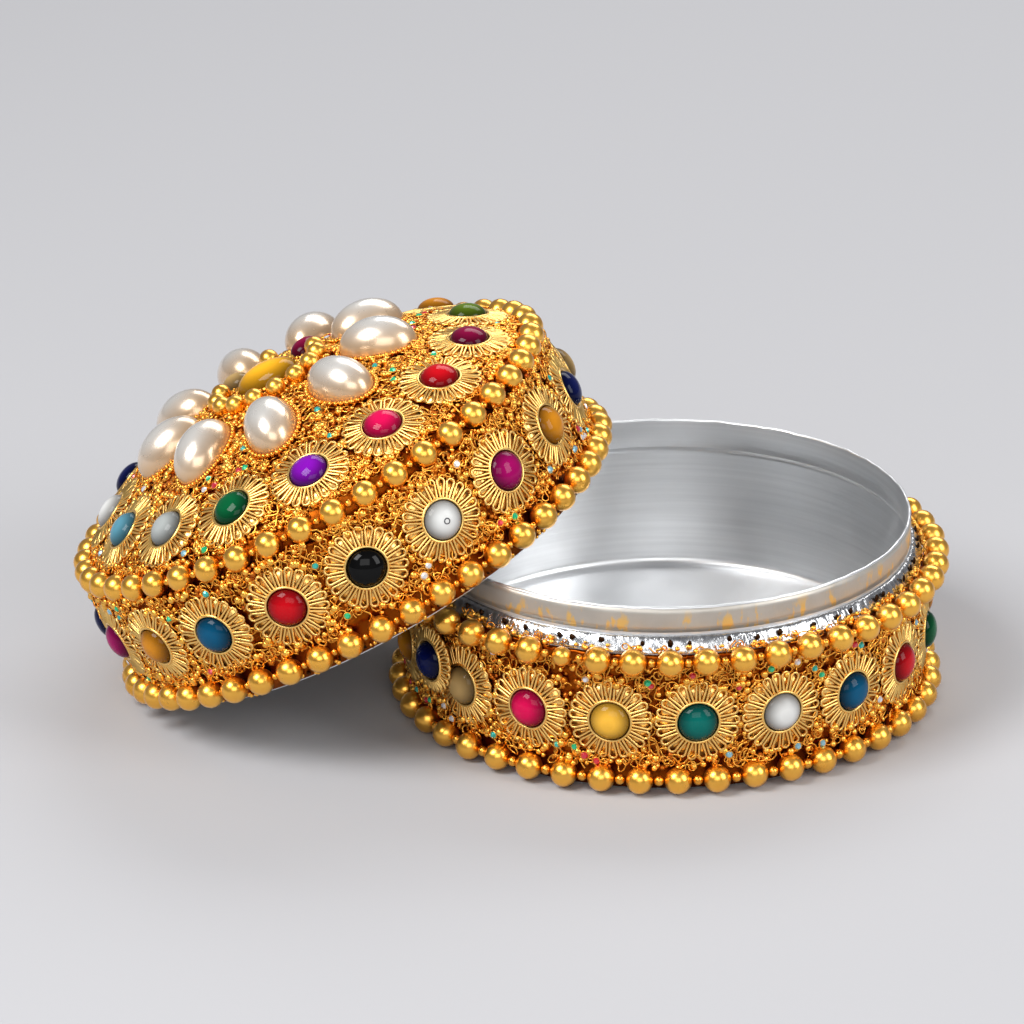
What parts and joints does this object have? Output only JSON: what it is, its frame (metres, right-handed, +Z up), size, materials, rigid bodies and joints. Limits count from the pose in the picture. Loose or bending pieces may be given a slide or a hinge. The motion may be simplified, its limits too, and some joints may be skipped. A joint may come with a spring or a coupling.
{
  "type": "kumkum box",
  "caption": "Round aluminium box for kumkum powder with a domed lift-off lid, coated in lac and set with gold beads, sunburst settings, glass stones and half pearls.",
  "frame": {"origin": "centre of the base's foot ring, on the surface that the box stands on", "axes": "+Z up along the base's axis; the lid, taken off, leans on the base's rim towards -X"},
  "size_m": [0.1374, 0.0888, 0.0602],
  "materials": {
    "aluminium": "brushed",
    "chaton": "faceted",
    "gold_bead": "satin gold",
    "gold_setting": "stamped gold foil",
    "gold_wire": "bright gold wire",
    "lac": "orange-gold lac with fine wirework",
    "pearl": "pearl lustre",
    "stone_amber": "polished glass cabochon",
    "stone_black": "polished glass cabochon",
    "stone_blue": "polished glass cabochon",
    "stone_champagne": "polished glass cabochon",
    "stone_clear": "polished glass cabochon",
    "stone_green": "polished glass cabochon",
    "stone_light_blue": "polished glass cabochon",
    "stone_magenta": "polished glass cabochon",
    "stone_navy": "polished glass cabochon",
    "stone_olive": "polished glass cabochon",
    "stone_pink": "polished glass cabochon",
    "stone_purple": "polished glass cabochon",
    "stone_red": "polished glass cabochon",
    "stone_ruby": "polished glass cabochon",
    "stone_teal": "polished glass cabochon",
    "stone_white": "polished glass cabochon",
    "stone_yellow": "polished glass cabochon"
  },
  "bodies": {
    "base": {"base_bottom_beads": "gold_bead", "base_bottom_spacers": "gold_bead", "base_chatons": "chaton", "base_dish": "aluminium", "base_lac": "lac", "base_over_setting": "gold_setting", "base_scrolls": "gold_wire", "base_settings": "gold_setting", "base_stones_amber": "stone_amber", "base_stones_blue": "stone_blue", "base_stones_champagne": "stone_champagne", "base_stones_green": "stone_green", "base_stones_navy": "stone_navy", "base_stones_pink": "stone_pink", "base_stones_purple": "stone_purple", "base_stones_red": "stone_red", "base_stones_teal": "stone_teal", "base_stones_white": "stone_white", "base_stones_yellow": "stone_yellow", "base_top_beads": "gold_bead", "base_top_spacers": "gold_bead"},
    "lid": {"lid_chatons": "chaton", "lid_crown_amber_stone": "stone_amber", "lid_crown_balls": "gold_bead", "lid_crown_champagne_stone": "stone_champagne", "lid_crown_cups": "gold_setting", "lid_crown_ruby_stone": "stone_ruby", "lid_dome_lac": "lac", "lid_dome_settings": "gold_setting", "lid_pearl_cups": "gold_setting", "lid_pearls": "pearl", "lid_rim_beads": "gold_bead", "lid_rim_spacers": "gold_bead", "lid_scrolls": "gold_wire", "lid_shell": "aluminium", "lid_shoulder_beads": "gold_bead", "lid_shoulder_spacers": "gold_bead", "lid_skirt_lac": "lac", "lid_skirt_settings": "gold_setting", "lid_stones_amber": "stone_amber", "lid_stones_black": "stone_black", "lid_stones_blue": "stone_blue", "lid_stones_champagne": "stone_champagne", "lid_stones_clear": "stone_clear", "lid_stones_green": "stone_green", "lid_stones_light_blue": "stone_light_blue", "lid_stones_magenta": "stone_magenta", "lid_stones_navy": "stone_navy", "lid_stones_olive": "stone_olive", "lid_stones_pink": "stone_pink", "lid_stones_purple": "stone_purple", "lid_stones_red": "stone_red", "lid_stones_ruby": "stone_ruby", "lid_stones_teal": "stone_teal", "lid_stones_white": "stone_white", "lid_stones_yellow": "stone_yellow"}
  },
  "joints": [
    {"name": "lid_lift", "type": "slide", "parent": "base", "child": "lid", "axis": [0, 0, 1], "range_m": [0, 0.08]}
  ]
}
